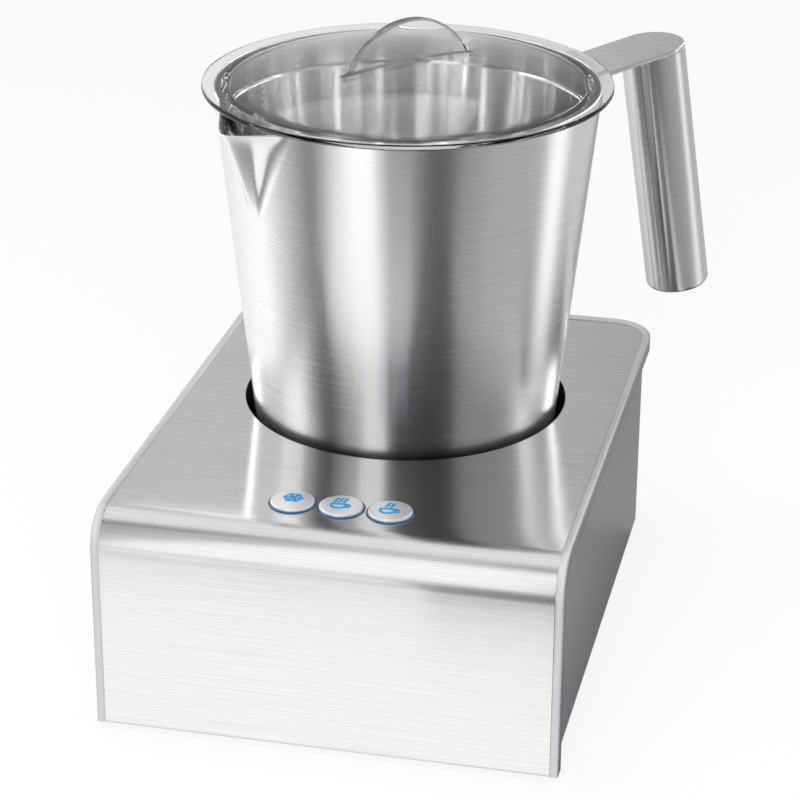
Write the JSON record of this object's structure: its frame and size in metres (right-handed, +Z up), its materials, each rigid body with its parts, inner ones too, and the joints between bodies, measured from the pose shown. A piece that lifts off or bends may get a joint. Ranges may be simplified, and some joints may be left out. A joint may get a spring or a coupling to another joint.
{
  "type": "milk frother",
  "caption": "Induction milk frother: steel-clad base with push buttons, a lift-off tapered steel jug with spout and tube handle, clear domed lid and magnetic whisk.",
  "frame": {"origin": "middle of the base's footprint, on the plane of the rubber feet", "axes": "+Z up, -Y towards the front with the buttons, +X to the right seen from the front"},
  "size_m": [0.1561, 0.203, 0.194],
  "materials": {
    "silver_abs": "silver ABS, satin moulded",
    "sheet_steel": "stainless sheet, brushed from side to side",
    "black_plastic": "black heat-resistant plastic, fine grain",
    "rubber": "matt black rubber",
    "screw_steel": "zinc-plated steel",
    "copper_wire": "enamelled copper litz wire",
    "ferrite": "sintered ferrite",
    "sensor_steel": "steel sensor cap",
    "motor_steel": "zinc-plated drawn steel",
    "white_plastic": "white acetal",
    "magnet": "nickel-plated magnet",
    "circuit_board": "green solder mask",
    "aluminium": "plain aluminium",
    "button_silver": "silver painted plastic, satin",
    "blue_light": "blue tinted clear plastic",
    "jug_steel": "stainless steel, brushed round the jug outside, polished inside",
    "handle_steel": "stainless steel, fine satin polish",
    "whisk_plastic": "black plastic",
    "clear_lid": "clear moulded plastic"
  },
  "bodies": {
    "base": {"housing": "silver_abs", "deck": "black_plastic", "cover_sheet": "sheet_steel", "bottom_plate": "black_plastic", "rubber_feet": "rubber", "bottom_screws": "screw_steel", "cord_gland": "rubber", "well_cup": "black_plastic", "coil_carrier": "black_plastic", "induction_coil": "copper_wire", "ferrite_bars": "ferrite", "temperature_sensor": "sensor_steel", "motor_cradle": "black_plastic", "motor_can": "motor_steel", "power_board": "circuit_board", "heat_sink": "aluminium", "smoothing_capacitor": "aluminium", "filter_choke": "copper_wire", "fan_frame": "black_plastic", "control_board": "circuit_board", "switch_bodies": "black_plastic", "status_leds": "white_plastic", "light_guide": "blue_light"},
    "drive_rotor": {"motor_shaft": "motor_steel", "drive_hub": "white_plastic", "drive_magnets": "magnet"},
    "fan": {"fan_rotor": "black_plastic"},
    "jug": {"jug_body": "jug_steel", "jug_base_plate": "jug_steel", "whisk_pin": "jug_steel", "handle_strap": "handle_steel", "handle_tube": "handle_steel", "handle_end_cap": "handle_steel"},
    "whisk": {"whisk": "whisk_plastic", "whisk_magnets": "magnet"},
    "lid": {"lid": "clear_lid"},
    "button_cold_foam": {"button_cold_foam": "button_silver", "plunger_cold_foam": "white_plastic"},
    "button_hot_foam": {"button_hot_foam": "button_silver", "plunger_hot_foam": "white_plastic"},
    "button_hot_milk": {"button_hot_milk": "button_silver", "plunger_hot_milk": "white_plastic"}
  },
  "joints": [
    {"name": "jug_lift", "type": "slide", "parent": "base", "child": "jug", "axis": [0, 0, 1], "range_m": [0, 0.12]},
    {"name": "lid_lift", "type": "slide", "parent": "jug", "child": "lid", "axis": [0, 0, 1], "range_m": [0, 0.06]},
    {"name": "drive_spin", "type": "hinge", "parent": "base", "child": "drive_rotor", "pos_m": [0, 0.0155, 0.04], "axis": [0, 0, 1], "continuous": true},
    {"name": "whisk_spin", "type": "hinge", "parent": "jug", "child": "whisk", "pos_m": [0, 0.0155, 0.056], "axis": [0, 0, 1], "continuous": true},
    {"name": "fan_spin", "type": "hinge", "parent": "base", "child": "fan", "pos_m": [0.022, 0.062, 0.01], "axis": [0, 0, 1], "continuous": true},
    {"name": "cold_foam_press", "type": "slide", "parent": "base", "child": "button_cold_foam", "axis": [0, 0, -1], "range_m": [0, 0.0008], "stiffness_N_per_m": 800},
    {"name": "hot_foam_press", "type": "slide", "parent": "base", "child": "button_hot_foam", "axis": [0, 0, -1], "range_m": [0, 0.0008], "stiffness_N_per_m": 800},
    {"name": "hot_milk_press", "type": "slide", "parent": "base", "child": "button_hot_milk", "axis": [0, 0, -1], "range_m": [0, 0.0008], "stiffness_N_per_m": 800}
  ],
  "couplings": [
    {"joint": "whisk_spin", "follows": "drive_spin", "ratio": 1}
  ]
}
